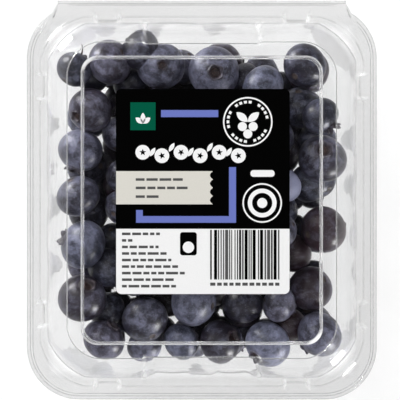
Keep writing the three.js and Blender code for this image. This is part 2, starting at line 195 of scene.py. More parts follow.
# The berries' colours: dark and waxy skin, each plain and brown, then the dried parts
SKIN = {
    "dark": (0.006, 0.007, 0.014, 1), "dark_brown": (0.020, 0.009, 0.012, 1),
    "wax": (0.252, 0.264, 0.380, 1), "wax_brown": (0.228, 0.212, 0.292, 1),
    "crown": (0.024, 0.016, 0.021, 1), "waxy_crown": (0.080, 0.070, 0.084, 1),
    "pit": (0.007, 0.004, 0.005, 1), "pit_specks": (0.040, 0.020, 0.018, 1),
    "scar": (0.060, 0.045, 0.040, 1),
}
# The bloom's patches: size in millimetres, detail, roughness and weight
PATCHES = ((7.0, 1.0, 0.5, 0.26), (2.4, 2.0, 0.5, 0.36), (0.8, 2.0, 0.6, 0.22))


def ramp(value, start, end):
    return np.clip((value - start) / (end - start), 0.0, 1.0)


def smooth(share):
    return share * share * (3 - 2 * share)


def polar(centre, radius, angle):
    return (centre[0] + radius * math.cos(angle), centre[1] + radius * math.sin(angle))


# Clear shells


def spec(half_x, half_y, corner, z, **more):
    """One ring of a shell. What isn't named is nought."""
    made = {
        "half_x": half_x, "half_y": half_y, "corner": corner, "z": z, "centre_y": 0.0, "cut": 0.0,
        "flute": 0.0, "notched": 0.0, "gripped": 0.0, "recess": 0.0, "tab": 0.0, "lip": 0.0,
        "crease": 0.0, "stretched": 0.0, "band": 0.0,
    }
    made.update(more)
    return made


def inside(outline, inset, z, tighter=0.5, **more):
    """A ring within an outline, its corners tighter by a share of the inset."""
    corner = outline["corner"] - inset * tighter
    return spec(outline["half_x"] - inset, outline["half_y"] - inset, corner, z, **more)


def between(first, second, share):
    return {key: first[key] + (second[key] - first[key]) * share for key in first}


def length_between(first, second):
    high = second["z"] + second["band"] - second["lip"]
    rise = high - (first["z"] + first["band"] - first["lip"])
    return math.hypot(second["half_x"] - first["half_x"], rise)


def rounded(profile, radii):
    """The profile with each inner bend turned into a row of rings. A radius of 0 keeps it sharp."""
    rings = [profile[0]]
    for before, here, after, radius in zip(profile, profile[1:], profile[2:], radii):
        if radius == 0:
            rings.append(here)
            continue
        near, far = (
            between(here, other, min(0.49, radius / length_between(here, other)))
            for other in (before, after))
        for step in range(BEND_STEPS):
            share = step / (BEND_STEPS - 1)
            rings.append(between(between(near, here, share), between(here, far, share), share))
    rings.append(profile[-1])
    return rings


def notch_share(along, centre):
    """0 in the middle of a notch and 1 outside it."""
    off = np.abs(np.abs(along) - centre)
    return ramp(off, NOTCH["half_top"], NOTCH["half_base"])


def grip_depth(x):
    inner = GRIP["half_width"] - GRIP["ramp"]
    edge = 1 - smooth(ramp(np.abs(x), inner, GRIP["half_width"]))
    rib = GRIP["rib"] * (1 - smooth(ramp(np.abs(x), GRIP["rib_inner"], GRIP["rib_outer"])))
    return GRIP["depth"] * edge * (1 - rib)


def recess_share(x):
    """0 in the recess of the slopes at the front and back, and 1 beside it."""
    return ramp(np.abs(x), RECESS["half_width"] - RECESS["ramp"], RECESS["half_width"])


def midway(share):
    """1 halfway up a ramp and 0 at both of its ends."""
    return (4 * share * (1 - share)) ** 2


def tab_line(x):
    """How far back the hinge tab reaches at x."""
    slant = ramp(np.abs(x), HINGE["half_length"], HINGE["half_length"] + HINGE["slant_x"])
    return TAB_EDGE - slant * HINGE["slant_y"]


def side_points(start, end, normal, one):
    """The straight run between two corners, with its flutes, notches and grip, and its crease."""
    share = np.arange(1, SIDE_STEPS) / SIDE_STEPS
    flat = start + np.outer(share, end - start)
    along = flat[:, 0] if normal[0] == 0 else flat[:, 1]
    centre = NOTCH["along"] if normal[0] == 0 else NOTCH["along_ends"]
    shift = one["flute"] * np.sin(math.pi * FLUTES_PER_SIDE * share) ** 2
    notch = notch_share(along, centre)
    shift = shift - one["notched"] * NOTCH["depth"] * (1 - smooth(notch))
    crease = one["crease"] + one["notched"] * NOTCH["crease"] * midway(notch)
    if normal[1] < 0:
        shift = shift - one["gripped"] * grip_depth(flat[:, 0])
    if normal[0] == 0:
        recess = recess_share(flat[:, 0])
        shift = shift - one["recess"] * RECESS["depth"] * (1 - smooth(recess))
        crease = crease + one["recess"] * RECESS["crease"] * midway(recess)
    return np.column_stack([flat + shift[:, None] * np.array(normal), crease])


def ring(one):
    """Points round a rounded rectangle, anticlockwise from the +X side's end, each with its crease."""
    turn = np.linspace(0, math.pi / 2, CORNER_STEPS + 1)
    share = (turn / (math.pi / 2))[:, None]
    arcs = []
    for quarter, (sign_x, sign_y) in enumerate(((1, 1), (-1, 1), (-1, -1), (1, -1))):
        centre = np.array([
            sign_x * (one["half_x"] - one["corner"]),
            one["centre_y"] + sign_y * (one["half_y"] - one["corner"]),
        ])
        angle = turn + quarter * math.pi / 2
        arc = centre + one["corner"] * np.column_stack([np.cos(angle), np.sin(angle)])
        chord = arc[0] + (arc[-1] - arc[0]) * share
        # Painted highlight: round the top-left and bottom-right corners the whitening swells midway along
        # the arc
        crease = one["crease"] + PAINTED_CORNER_HIGHLIGHT.get(quarter, 0.0) * one["stretched"] * midway(share)
        arcs.append(np.column_stack([arc + (chord - arc) * one["cut"], crease]))
    runs = []
    for quarter, normal in enumerate(((0, 1), (-1, 0), (0, -1), (1, 0))):
        runs.append(arcs[quarter])
        runs.append(side_points(arcs[quarter][-1, :2], arcs[(quarter + 1) % 4][0, :2], normal, one))
    flat = np.vstack(runs)
    behind = flat[:, 1] > BACK_SIDE
    past = np.abs(flat[:, 0]) - HINGE["half_length"]
    reach = np.maximum(flat[:, 1], tab_line(flat[:, 0]))
    on_tab = behind & (past < HINGE["slant_x"])
    flat[:, 1] = np.where(on_tab, flat[:, 1] + one["tab"] * (reach - flat[:, 1]), flat[:, 1])
    lip = np.where(behind, smooth(ramp(past, 0.0, LIP_FADE)), 1.0)
    band = np.where(behind, ramp(np.abs(past), BAND_FADE["start"], BAND_FADE["end"]), 1.0)
    height = one["z"] - one["lip"] * lip + one["band"] * band
    return np.column_stack([flat[:, :2], height, flat[:, 2]])


def unit(vectors):
    length = np.linalg.norm(vectors, axis=-1, keepdims=True)
    return vectors / np.maximum(length, 1e-9)


def bands(index):
    """The faces between rows of points round closed hoops."""
    nxt = np.roll(index, -1, axis=1)
    return np.stack([index[:-1], nxt[:-1], nxt[1:], index[1:]], axis=-1).reshape(-1, 4).tolist()


def capped(index):
    """Those faces and a flat cap on each end."""
    return bands(index) + [index[0, ::-1].tolist(), index[-1].tolist()]


def fanned(grid):
    """The points and faces of hoops that are closed at each end by a fan round its middle."""
    rows, count = grid.shape[:2]
    index = np.arange(rows * count).reshape(rows, count)
    first, last = index[0], index[-1]
    faces = bands(index)
    faces += [(index.size, b, a) for a, b in zip(first, np.roll(first, -1))]
    faces += [(index.size + 1, a, b) for a, b in zip(last, np.roll(last, -1))]
    return np.vstack([grid.reshape(-1, 3), grid[0].mean(axis=0), grid[-1].mean(axis=0)]), faces


def shell_mesh(rings, thickness):
    """A closed sheet round the rings' surface, from its outer edge in to its middle, and how
    creased it is at each point."""
    middle = np.stack([ring(one) for one in rings])
    crease = middle[..., 3]
    middle = middle[..., :3]
    steps = unit(np.diff(middle, axis=0))
    inward = unit(np.concatenate([steps[:1], steps[:-1] + steps[1:], steps[-1:]]))
    around = unit(np.roll(middle, -1, axis=1) - np.roll(middle, 1, axis=1))
    normal = unit(np.cross(around, -inward))
    one_side = middle + normal * thickness / 2
    other = middle - normal * thickness / 2
    edge = middle[:1] - inward[:1] * thickness * 0.35
    grid = np.concatenate([one_side[::-1], edge, other])
    creases = np.concatenate([crease[::-1], crease[:1], crease]).ravel()
    return *fanned(grid), np.append(creases, [0.0, 0.0])


def add_numbers(made, key, values):
    attribute = made.data.attributes.new(key, "FLOAT", "POINT")
    attribute.data.foreach_set("value", np.asarray(values, dtype=np.float32))


def make_object(name, verts, faces, materials, smoothed=True):
    """A mesh object from points in millimetres, its faces turned out."""
    mesh = bpy.data.meshes.new(name)
    mesh.from_pydata((np.asarray(verts) * MM).tolist(), [], [tuple(face) for face in faces])
    mesh.validate()
    mesh.update()
    if signed_volume(mesh) < 0:
        mesh.flip_normals()
    mesh.polygons.foreach_set("use_smooth", [smoothed] * len(mesh.polygons))
    for material in materials:
        mesh.materials.append(material)
    made = bpy.data.objects.new(name, mesh)
    bpy.context.scene.collection.objects.link(made)
    return made


def signed_volume(mesh):
    mesh.calc_loop_triangles()
    corners = np.empty(len(mesh.loop_triangles) * 3, dtype=np.int32)
    mesh.loop_triangles.foreach_get("vertices", corners)
    points = np.empty(len(mesh.vertices) * 3)
    mesh.vertices.foreach_get("co", points)
    a, b, c = points.reshape(-1, 3)[corners.reshape(-1, 3)].transpose(1, 0, 2)
    return float(np.einsum("ij,ij->", a, np.cross(b, c)))


def flange_rings(z, turn):
    """The flange's raised lines, its step and its ledge, the step turned up (1) or down (-1)."""
    def line(inset, height=0.0):
        return inside(
            FLANGE, inset, z, 1.0, centre_y=FLANGE["centre_y"], tab=max(0.0, 1 - inset / 6.0),
            band=height)

    def step(out, height):
        return inside(
            WALL_TOP, -out, height, 1.0, centre_y=FLANGE["centre_y"] / 2, cut=WALL_TOP["cut"] / 2,
            notched=1.0)

    first, second, half, height = RIM_LINES.values()
    return [
        line(0.0), line(first - half), line(first + half, height), line(second - half, height),
        line(second + half), step(LEDGE + STEP_RUN, z), step(LEDGE, z + turn * STEP_RUN),
    ]


def wall_ring(z, flute):
    inset = (WALL_TOP["z"] - z) * WALL_DRAFT
    grip = float(ramp(z, GRIP["low_z"], WALL_TOP["z"]))
    return inside(WALL_TOP, inset, z, 0.0, cut=WALL_TOP["cut"], gripped=grip, flute=flute)


def closing_rings(last, reach):
    """Flat rings from the last one in towards the middle."""
    return [
        spec(
            last["half_x"] - reach * share, last["half_y"] - reach * share,
            last["corner"] * (1 - 0.8 * share), last["z"])
        for share in (0.3, 0.6, 0.85, 1.0)
    ]


def tub_shell(material):
    flange = flange_rings(FLANGE["z"], -1)
    foot_z = SHEET / 2
    # The raised floor and the bead on it, as insets from the foot's inner edge and heights
    floor_steps = ((1.0, 0.0), (6.0, 0.0), (6.8, 0.7), (8.4, 0.7), (9.2, 0.0))
    profile = [
        dict(flange[0], lip=LIP_DEPTH), *flange,
        wall_ring(WALL_TOP["z"], FLUTE["top"]),
        wall_ring(19.0, FLUTE["middle"]),
        wall_ring(11.0, FLUTE["middle"]),
        wall_ring(4.6, FLUTE["low"]),
        inside(FOOT, -2.6, 1.7),
        inside(FOOT, 0.0, foot_z),
        inside(FOOT, FOOT["width"], foot_z),
        *[inside(FOOT, FOOT["width"] + inset, foot_z + FLOOR_LIFT + up) for inset, up in floor_steps],
    ]
    radii = [0.3] + 4 * [0.1] + [0.3, 0.3, 0.5, 3.0, 3.0, 2.0, 1.2, 1.0, 0.5, 0.5] + 4 * [0.4]
    return shell("tub_shell", profile, radii, 17.0, material)


def shell(name, profile, radii, reach, material):
    """A shell from its profile, with the radius of each bend, closed over the last reach inwards."""
    rings = rounded(profile + [closing_rings(profile[-1], 8.0)[0]], radii)
    rings += closing_rings(rings[-1], reach)
    verts, faces, creases = shell_mesh(rings, SHEET)
    made = make_object(name, verts, faces, [material])
    add_numbers(made, "crease", creases)
    return made


def flat_ring(outline, inset, rise, **more):
    """A ring inside one of the lid's outlines, above or below the lid's rim."""
    return inside(outline, inset, LID_BEND["z"] + rise, **more)


def lid_shell(material):
    z = FLANGE["z"] + LID_OFFSET
    half = CREASE["half"]
    wall = inside(
        WALL_TOP, 0.0, z + STEP_RUN, cut=WALL_TOP["cut"], gripped=1.0, recess=1.0,
        crease=CREASE["wall"])
    shoulder = inside(SHOULDER, 0.0, SHOULDER["z"], cut=0.45, gripped=0.5, recess=1.0)
    bend = flat_ring(LID_BEND, 0.0, 0.0, cut=0.2, recess=1.0, crease=CREASE["bend"])
    # The panel's step slants halfway between level and upright, then drops more steeply
    # The panel's top and slant carry the painted corner highlight
    panel_top = flat_ring(PANEL, 0.0, 0.0, crease=CREASE["panel_top"], stretched=1.0)
    panel_low = flat_ring(
        PANEL, PANEL["slant"], -PANEL["slant"], crease=CREASE["panel_foot"], stretched=1.0)
    panel_foot = flat_ring(PANEL, PANEL["run"], -PANEL["depth"], crease=CREASE["panel_foot"])
    profile = [
        *flange_rings(z, 1), wall, shoulder,
        between(shoulder, dict(bend, crease=0.0), 1 - half / 6), bend,
        flat_ring(LID_BEND, 2 * half, 0.0, cut=0.2, recess=1.0), flat_ring(LID_BEND, 1.5, 0.0),
        flat_ring(PANEL, -half, 0.0), panel_top, panel_low, panel_foot,
        flat_ring(PANEL, PANEL["run"] + half, -PANEL["depth"]),
    ]
    radii = 4 * [0.1] + [0.3, 0.3, 0.4, 0.6, 0, 0.5, 0, 0, 0, 0.2, 0.2, 0.2, 0]
    return shell("lid_shell", profile, radii, 24.0, material)


def hinge_web(material):
    """The thin fold that joins the two flanges along the back."""
    radius = LID_OFFSET / 2
    ends = (TAB_EDGE - 0.1, HINGE["y"] - 0.12)
    path = [(y, HINGE["z"] - radius) for y in ends]
    for step in range(HINGE["fold_steps"] + 1):
        angle = -math.pi / 2 + math.pi * step / HINGE["fold_steps"]
        path.append(polar((HINGE["y"], HINGE["z"]), radius, angle))
    path += [(y, HINGE["z"] + radius) for y in reversed(ends)]
    path = np.array(path)
    along = unit(np.gradient(path, axis=0))
    out = np.column_stack([along[:, 1], -along[:, 0]]) * HINGE["thick"] / 2
    outline = np.vstack([path + out, (path - out)[::-1]])
    across = np.linspace(-HINGE["half_length"], HINGE["half_length"], HINGE["lengths"] + 1)
    count = len(outline)
    verts = np.vstack([np.column_stack([np.full(count, x), outline]) for x in across])
    faces = capped(np.arange(len(verts)).reshape(-1, count))
    return make_object("hinge_web", verts, faces, [material])


# Berries


def make_draw():
    """Repeatable draws from 0 to 1."""
    state, top = DRAW_SEED, 2 ** 31 - 1
    while True:
        state = (state * 16807) % top
        yield state / top


def berry(x, y, z, radius, **more):
    """A berry before it settles. It's a hidden one, its look still to be drawn, unless told."""
    made = {
        "at": [x, y, z], "radius": radius, "shown": False, "lower": False, "rest": 0.0,
        "bloom": None, "brown": None, "crown": None, "stalk": False,
    }
    made.update(more)
    return made


def scatter():
    """Every berry before it settles, in the order of the solids."""
    draw = make_draw()
    fruit = []
    for x, y, size, z, bloom, brown, *crown in SEEN:
        fruit.append(berry(
            x, y, z, size / 2, shown=True, rest=z - SETTLING["drop"], bloom=bloom, brown=brown,
            crown=crown[0] if crown else None, stalk=len(fruit) == STALK["berry"]))

    def hidden(x, y, z, lower):
        radius = (HIDDEN["smallest"] + HIDDEN["spread"] * next(draw)) / 2
        off_x = HIDDEN["jitter"] * (next(draw) - 0.5)
        off_y = HIDDEN["jitter"] * (next(draw) - 0.5)
        fruit.append(berry(x + off_x, y + off_y, z, radius, lower=lower))

    upper = UNDER_LABEL
    for row in range(upper["rows"]):
        for column in range(upper["columns"]):
            x = upper["x"] + column * upper["step_x"]
            hidden(x, upper["y"] + row * upper["step_y"], upper["z"], False)
    lower = LOWER_LAYER
    for row in range(lower["rows"]):
        odd = row % 2
        for column in range(lower["columns"] - odd):
            x = (column + 0.5 * odd - (lower["columns"] - 1) / 2) * lower["step_x"]
            hidden(x, (row - (lower["rows"] - 1) / 2) * lower["step_y"], lower["z"], True)
    return fruit


def keep_inside(one):
    at, radius = one["at"], one["radius"]
    reach = radius * FRUIT_ROOM["swell"]
    inset = (WALL_TOP["z"] - at[2]) * WALL_DRAFT
    lowest = max(one["rest"], CAD_SHEET + FLOOR_LIFT + FRUIT_ROOM["wall"] + radius)
    at[2] = max(lowest, min(at[2], SETTLING["ceiling"] - radius))
    signs, middles, offs = [], [], []
    for axis, half in enumerate((WALL_TOP["half_x"], WALL_TOP["half_y"])):
        limit = half - inset - FRUIT_ROOM["wall"]
        at[axis] = max(reach - limit, min(at[axis], limit - reach))
        signs.append(-1 if at[axis] < 0 else 1)
        middles.append(limit - WALL_TOP["corner"])
        offs.append(at[axis] * signs[axis] - middles[axis])
    room = WALL_TOP["corner"] * FRUIT_ROOM["corner"] - reach
    off = math.sqrt(offs[0] * offs[0] + offs[1] * offs[1])
    if min(offs) > 0 and off > room:
        share = max(0.0, room) / off
        for axis in (0, 1):
            at[axis] = signs[axis] * (middles[axis] + offs[axis] * share)


def keep_gaps(one):
    """Moves a hidden berry off the lines of sight down to the floor."""
    if one["shown"]:
        return
    at = one["at"]
    for x, y, half in GAPS:
        off_x, off_y = at[0] - x, at[1] - y
        off = math.hypot(off_x, off_y)
        clear = one["radius"] + half
        if 0 < off < clear:
            at[0] = x + off_x * clear / off
            at[1] = y + off_y * clear / off


def settle(fruit):
    """Pushes touching berries apart while they sink, so that the heap lies as poured."""
    for _ in range(SETTLING["passes"]):
        for one in fruit:
            one["at"][2] -= SETTLING["sink"]
        for i, a in enumerate(fruit):
            ax, ay, az = a["at"]
            for b in fruit[i + 1:]:
                bx, by, bz = b["at"]
                reach = (a["radius"] + b["radius"]) * SETTLING["softness"]
                x, y, z = bx - ax, by - ay, bz - az
                square = x * x + y * y + z * z
                if square < reach * reach:
                    apart = math.sqrt(square)
                    push = 0.5 * (reach - apart) / apart
                    for one, way in ((a, -push), (b, push)):
                        if not one["shown"]:
                            one["at"][0] += way * x
                            one["at"][1] += way * y
                        one["at"][2] += way * z
                    ax, ay, az = a["at"]
        for one in fruit:
            keep_gaps(one)
            keep_inside(one)
    return fruit


def fill_holes(fruit):
    """Deep small berries wherever a straight look down inside the heap would reach the floor."""
    deep = []
    reach_x, reach_y = FILLER["half_x"], FILLER["half_y"]
    for x in np.arange(-reach_x, reach_x + 0.1, FILLER["grid"]):
        for y in np.arange(-reach_y, reach_y + 0.1, FILLER["grid"]):
            seen = any(
                math.hypot(one["at"][0] - x, one["at"][1] - y) < one["radius"] * 0.97
                for one in fruit + deep)
            gap = any(math.hypot(gx - x, gy - y) < half + 0.35 for gx, gy, half in GAPS)
            if seen or gap:
                continue
            # Painted shade: the filler berries get a dark, barely waxy skin, as the shade deep in the heap
            # would darken them
            one = berry(
                float(x), float(y), FILLER["z"], FILLER["radius"], lower=True, bloom=0.1, brown=0.2)
            keep_gaps(one)
            keep_inside(one)
            deep.append(one)
    return deep


def berry_rows(flat, crown, deep):
    """Rows from the crown's pit over the body to the stalk's scar, for a radius of 1. Each is
    across, up, lobe out, lobe up, and the shares of crown, pit and scar."""
    def body(across):
        return flat * math.sqrt(max(0.0, 1 - across * across))
    rim = body(crown)
    rows = [
        (0.02, rim - deep * 0.85, 0, 0, 0, 1, 0),
        (0.22 * crown, rim - deep * 0.9, 0, 0, 0, 1, 0),
        (0.55 * crown, rim - deep * 1.08, 0, 0, 0, 1, 0),
        (0.80 * crown, rim - deep * 0.85, 0, 0, 0.3, 0.9, 0),
        (0.92 * crown, rim - deep * 0.25, 0, 0.2, 1, 0.4, 0),
        (1.00 * crown, rim + 0.030, 0.3, 0.8, 1, 0.1, 0),
        (1.08 * crown, rim + 0.045, 1.0, 1.0, 1, 0, 0),
        (1.16 * crown, rim + 0.020, 1.0, 0.8, 1, 0, 0),
        (1.24 * crown, body(1.24 * crown) - 0.015, 0.1, 0, 0.7, 0, 0),
        (1.45 * crown, body(1.45 * crown), 0, 0, 0.15, 0, 0),
        (1.8 * crown, body(1.8 * crown), 0, 0, 0, 0, 0),
    ]
    start = math.asin(1.8 * crown)
    scar = 0.15
    end = math.pi - math.asin(scar * 1.3)
    steps = 18
    for step in range(1, steps + 1):
        angle = start + (end - start) * step / steps
        rows.append((math.sin(angle), flat * math.cos(angle), 0, 0, 0, 0, 0))
    rows += [
        (scar, -body(scar) + 0.004, 0, 0, 0, 0, 0.3), (scar * 0.8, -body(scar) + 0.03, 0, 0, 0, 0, 1),
        (scar * 0.35, -body(scar) + 0.035, 0, 0, 0, 0, 1),
    ]
    return rows


def berry_mesh(one, chance):
    """One berry's points in millimetres, its faces, and its shares of crown, pit and scar."""
    flat = chance.uniform(0.86, 0.93)
    crown = chance.uniform(0.22, 0.30)
    lobe_up = chance.uniform(0.02, 0.07)
    if one["crown"] is not None:
        crown, lobe_up = one["crown"][2:]
    deep = crown * chance.uniform(0.30, 0.45)
    lobe_out = crown * chance.uniform(0.10, 0.28) + 0.4 * lobe_up
    rows = np.array(berry_rows(flat, crown, deep))
    angle = np.linspace(0, 2 * math.pi, SEGMENTS, endpoint=False)
    lobe = (0.5 + 0.5 * np.cos(LOBES * angle + chance.uniform(0, 6))) ** 0.8
    lobe = lobe * (1 + 0.35 * np.sin(angle + chance.uniform(0, 6)))
    across = rows[:, 0:1] + rows[:, 2:3] * lobe * lobe_out
    up = rows[:, 1:2] + rows[:, 3:4] * lobe * lobe_up
    swell = 1 + 0.018 * np.sin(2 * angle + chance.uniform(0, 6))
    swell = swell + 0.010 * np.sin(3 * angle + chance.uniform(0, 6))
    across = across * swell
    lean = chance.uniform(-0.05, 0.05) * (1 - rows[:, 0:1] ** 2)
    grid = np.stack([across * np.cos(angle) + lean, across * np.sin(angle), up + 0 * angle], axis=-1)
    shares = np.repeat(rows[:, None, 4:7], SEGMENTS, axis=1)
    shares = np.vstack([shares.reshape(-1, 3), shares[0, 0], shares[-1, 0]])
    verts, faces = fanned(grid)
    turned = verts @ pointing(crown_axis(one, chance), chance.uniform(0, 6)).T
    return turned * one["radius"] + np.array(one["at"]), faces, shares


def crown_axis(one, chance):
    """Where the crown points: as seen, or else to a side and down, out of sight."""
    if one["crown"] is not None:
        x, y = one["crown"][:2]
        return np.array([x, y, math.sqrt(max(0.02, 1 - x * x - y * y))])
    turn = chance.uniform(0, 2 * math.pi)
    drop = chance.uniform(0.15, 0.75)
    flat = math.sqrt(1 - drop * drop)
    return np.array([flat * math.cos(turn), flat * math.sin(turn), -drop])


def pointing(axis, spin):
    """The rotation that takes +Z to the axis, after a spin about it."""
    axis = axis / np.linalg.norm(axis)
    side = np.cross(axis, [0.3, 0.9, 0.1])
    side /= np.linalg.norm(side)
    other = np.cross(axis, side)
    first = side * math.cos(spin) + other * math.sin(spin)
    return np.column_stack([first, np.cross(axis, first), axis])


def stalk_mesh(one):
    """A dry bent bit of stalk that stands out of a berry's skin."""
    away = unit(np.array(STALK["points_to"]))
    side = unit(np.cross(away, [0.0, 0.0, 1.0]))
    up = np.cross(side, away)
    rows, sides = 7, 8
    turn = np.linspace(0, 2 * math.pi, sides, endpoint=False)
    verts = []
    for share in np.linspace(0, 1, rows):
        middle = away * (one["radius"] * 0.9 + STALK["length"] * share) - side * 1.1 * share ** 2
        half = STALK["thick"] / 2 * (1.2 - 0.8 * share + 0.5 * share ** 6)
        hoop = np.outer(np.cos(turn), side) + np.outer(np.sin(turn), up)
        verts.append(np.array(one["at"]) + middle + half * hoop)
    return np.vstack(verts), capped(np.arange(rows * sides).reshape(rows, sides))


def bloom_and_deep_shade(one, chance):
    """How waxy a berry looks, with painted shade deep in the heap: deep ones get a dark skin, and those
    along the wall don't.
    """
    drawn = chance.uniform(0.15, 0.75)
    if one["bloom"] is not None:
        return one["bloom"]
    deep = one["lower"] and abs(one["at"][0]) < DEEP_SHADE["half_x"] and abs(one["at"][1]) < DEEP_SHADE["half_y"]
    return DEEP_SHADE["bloom"] if deep else drawn


def berry_piece(name, fruit, material, chance):
    """One joined mesh of whole berries, with what the skin's material reads from each."""
    verts, faces, columns = [], [], []
    start = 0

    def join(points, made, shares, bloom, brown):
        nonlocal start
        verts.append(points)
        faces.extend(tuple(int(start + i) for i in face) for face in made)
        columns.append(np.hstack([shares, np.tile([bloom, brown], (len(points), 1))]))
        start += len(points)

    for one in fruit:
        points, made, shares = berry_mesh(one, chance)
        bloom = bloom_and_deep_shade(one, chance)
        brown = one["brown"] if one["brown"] is not None else chance.uniform(0.0, 0.7)
        join(points, made, shares, bloom, brown)
        if one["stalk"]:
            points, made = stalk_mesh(one)
            join(points, made, np.tile([0.0, 1.0, 0.0], (len(points), 1)), bloom, brown)
    made = make_object(name, np.vstack(verts), faces, [material])
    table = np.vstack(columns)
    for column, key in enumerate(("crown", "pit", "scar", "bloom", "brown")):
        add_numbers(made, key, table[:, column])
    return made


# Materials


def new_material(name):
    material = bpy.data.materials.new(name)
    material.use_nodes = True
    tree = material.node_tree
    return material, tree, tree.nodes["Principled BSDF"]


def feed(socket, value):
    """Links another node's output to a socket, or sets the socket to a plain value."""
    if isinstance(value, bpy.types.NodeSocket):
        socket.id_data.links.new(value, socket)
    else:
        socket.default_value = value


def set_inputs(node, **inputs):
    """Feeds a node's inputs by their names, with _ in place of each space."""
    for key, value in inputs.items():
        feed(node.inputs[key.replace("_", " ")], value)


def add(tree, kind, settings=None, **inputs):
    """A new shader node with its settings and inputs."""
    node = tree.nodes.new("ShaderNode" + kind)
    for key, value in (settings or {}).items():
        setattr(node, key, value)
    set_inputs(node, **inputs)
    return node


def colour_mix(share, first, second):
    """A colour between two, each a colour or another node's output."""
    node = add(share.id_data, "Mix", {"data_type": "RGBA"})
    for socket, value in ((0, share), (6, first), (7, second)):
        feed(node.inputs[socket], value)
    return node.outputs[2]


def sums(operation, first, second=0.0):
    node = add(first.id_data, "Math", {"operation": operation})
    feed(node.inputs[0], first)
    feed(node.inputs[1], second)
    return node.outputs[0]


def noise(where, size, detail, roughness=0.5):
    """Noise whose lumps are about a size in millimetres."""
    return add(
        where.id_data, "TexNoise", Vector=where, Scale=1 / (size * MM), Detail=detail,
        Roughness=roughness).outputs["Fac"]


def spread(value, low, high, to_low=0.0, to_high=1.0):
    return add(
        value.id_data, "MapRange", {"interpolation_type": "SMOOTHSTEP"}, Value=value,
        From_Min=low, From_Max=high, To_Min=to_low, To_Max=to_high).outputs[0]


def bumped(shader, height, distance, strength):
    node = add(height.id_data, "Bump", Strength=strength, Distance=distance * MM, Height=height)
    set_inputs(shader, Normal=node.outputs[0])


def object_place(tree):
    return add(tree, "TexCoord").outputs["Object"]


def axes(where):
    return add(where.id_data, "SeparateXYZ", Vector=where).outputs


def rim_share(where):
    """0 over the thinned sheet of the walls and 1 on the flange, where the sheet stays thick. It sets the
    greyer tint there, partly for that thickness and partly as painted light that evens the shaded inside
    with the open flange.
    """
    over = []
    for axis, reach in (("X", WALL_TOP["half_x"]), ("Y", WALL_TOP["half_y"])):
        size = sums("ABSOLUTE", axes(where)[axis])
        over.append(sums("SUBTRACT", size, reach * MM))
    return spread(sums("MAXIMUM", *over), -3.0 * MM, 1.5 * MM)


def hinge_share(where):
    """How far the thinned strip along the hinge shows what is behind it straight through."""
    start = FLANGE["half_y"] + FLANGE["centre_y"] - 4.5
    return spread(axes(where)["Y"], start * MM, (start + 2.0) * MM, 0.0, STRAIGHT_THROUGH["hinge"])


def clear_plastic(name):
    """Thin clear sheet, a little wavy from its forming, which lets light through to the fruit."""
    material, tree, shader = new_material(name)
    where = object_place(tree)
    # Creases turn part of the light into a white diffuse: partly real crease whitening, partly painted
    # highlight along the bends
    whitening_and_glint = spread(attribute_value(tree, "crease"), 0.0, 2.0, 1.0, 1 - 2 * CREASE["whitening_and_glint"])
    rim = rim_share(where)
    # Clearer tint over the walls, greyer on the rim: partly the sheet's thickness, partly painted light
    # that evens the shaded inside with the open flange
    tone = colour_mix(rim, CLEAR_TINT, RIM_TINT)
    set_inputs(shader, Base_Color=tone, Transmission_Weight=whitening_and_glint, Roughness=0.04, IOR=SHEET_IOR)
    fine = sums("MULTIPLY", noise(where, WAVES["fine"], 1.0), WAVES["fine_share"])
    waves = sums("ADD", noise(where, WAVES["wide"], 1.0), fine)
    bumped(shader, waves, distance=0.07, strength=0.5)
    see_through = add(tree, "BsdfTransparent", Color=SEE_THROUGH)
    mixer = add(tree, "MixShader")
    rays = add(tree, "LightPath")
    straight = spread(rim, 0.6, 1.0, 0.0, STRAIGHT_THROUGH["rim"])
    straight = sums("MAXIMUM", straight, hinge_share(where))
    through = sums("MAXIMUM", rays.outputs["Is Shadow Ray"], straight)
    for socket, value in enumerate((through, shader.outputs[0], see_through.outputs[0])):
        feed(mixer.inputs[socket], value)
    set_inputs(tree.nodes["Material Output"], Surface=mixer.outputs[0])
    return material


def attribute_value(tree, name):
    return add(tree, "Attribute", {"attribute_name": name}).outputs["Fac"]


def berry_skin():
    """Blue-black skin under a rubbed waxy bloom, a dark crown with a brown pit, and a pale scar."""
    material, tree, shader = new_material("berry_skin")
    where = object_place(tree)
    brown = attribute_value(tree, "brown")
    cover = attribute_value(tree, "bloom")
    for size, detail, roughness, weight in PATCHES:
        patches = noise(where, size, detail, roughness)
        patches = spread(patches, 0.34, 0.66, -weight / 2, weight / 2)
        cover = sums("ADD", cover, patches)
    cover = spread(cover, 0.0, 1.52)
    dark = colour_mix(brown, SKIN["dark"], SKIN["dark_brown"])
    wax = colour_mix(brown, SKIN["wax"], SKIN["wax_brown"])
    skin = colour_mix(cover, dark, wax)
    speck = noise(where, 0.5, 2.0, 0.6)
    crown = sums("MULTIPLY", attribute_value(tree, "crown"), 0.7)
    skin = colour_mix(crown, skin, colour_mix(cover, SKIN["crown"], SKIN["waxy_crown"]))
    pit_tone = colour_mix(spread(speck, 0.35, 0.65), SKIN["pit"], SKIN["pit_specks"])
    skin = colour_mix(attribute_value(tree, "pit"), skin, pit_tone)
    skin = colour_mix(attribute_value(tree, "scar"), skin, SKIN["scar"])
    dull = spread(cover, 0.0, 1.0, 0.33, 0.52)
    set_inputs(shader, Base_Color=skin, Roughness=dull, Specular_IOR_Level=0.30)
    relief = sums("ADD", noise(where, 2.6, 2.0), sums("MULTIPLY", speck, 0.3))
    bumped(shader, relief, distance=0.05, strength=0.6)
    return material


def paper_fibre(tree):
    return noise(object_place(tree), 0.25, 2.0, 0.6)


def satin(shader, tone, fibre):
    """The soft gloss and fine tooth of coated paper."""
    set_inputs(shader, Base_Color=tone, Roughness=0.55, Specular_IOR_Level=0.01)
    bumped(shader, fibre, distance=0.006, strength=0.4)


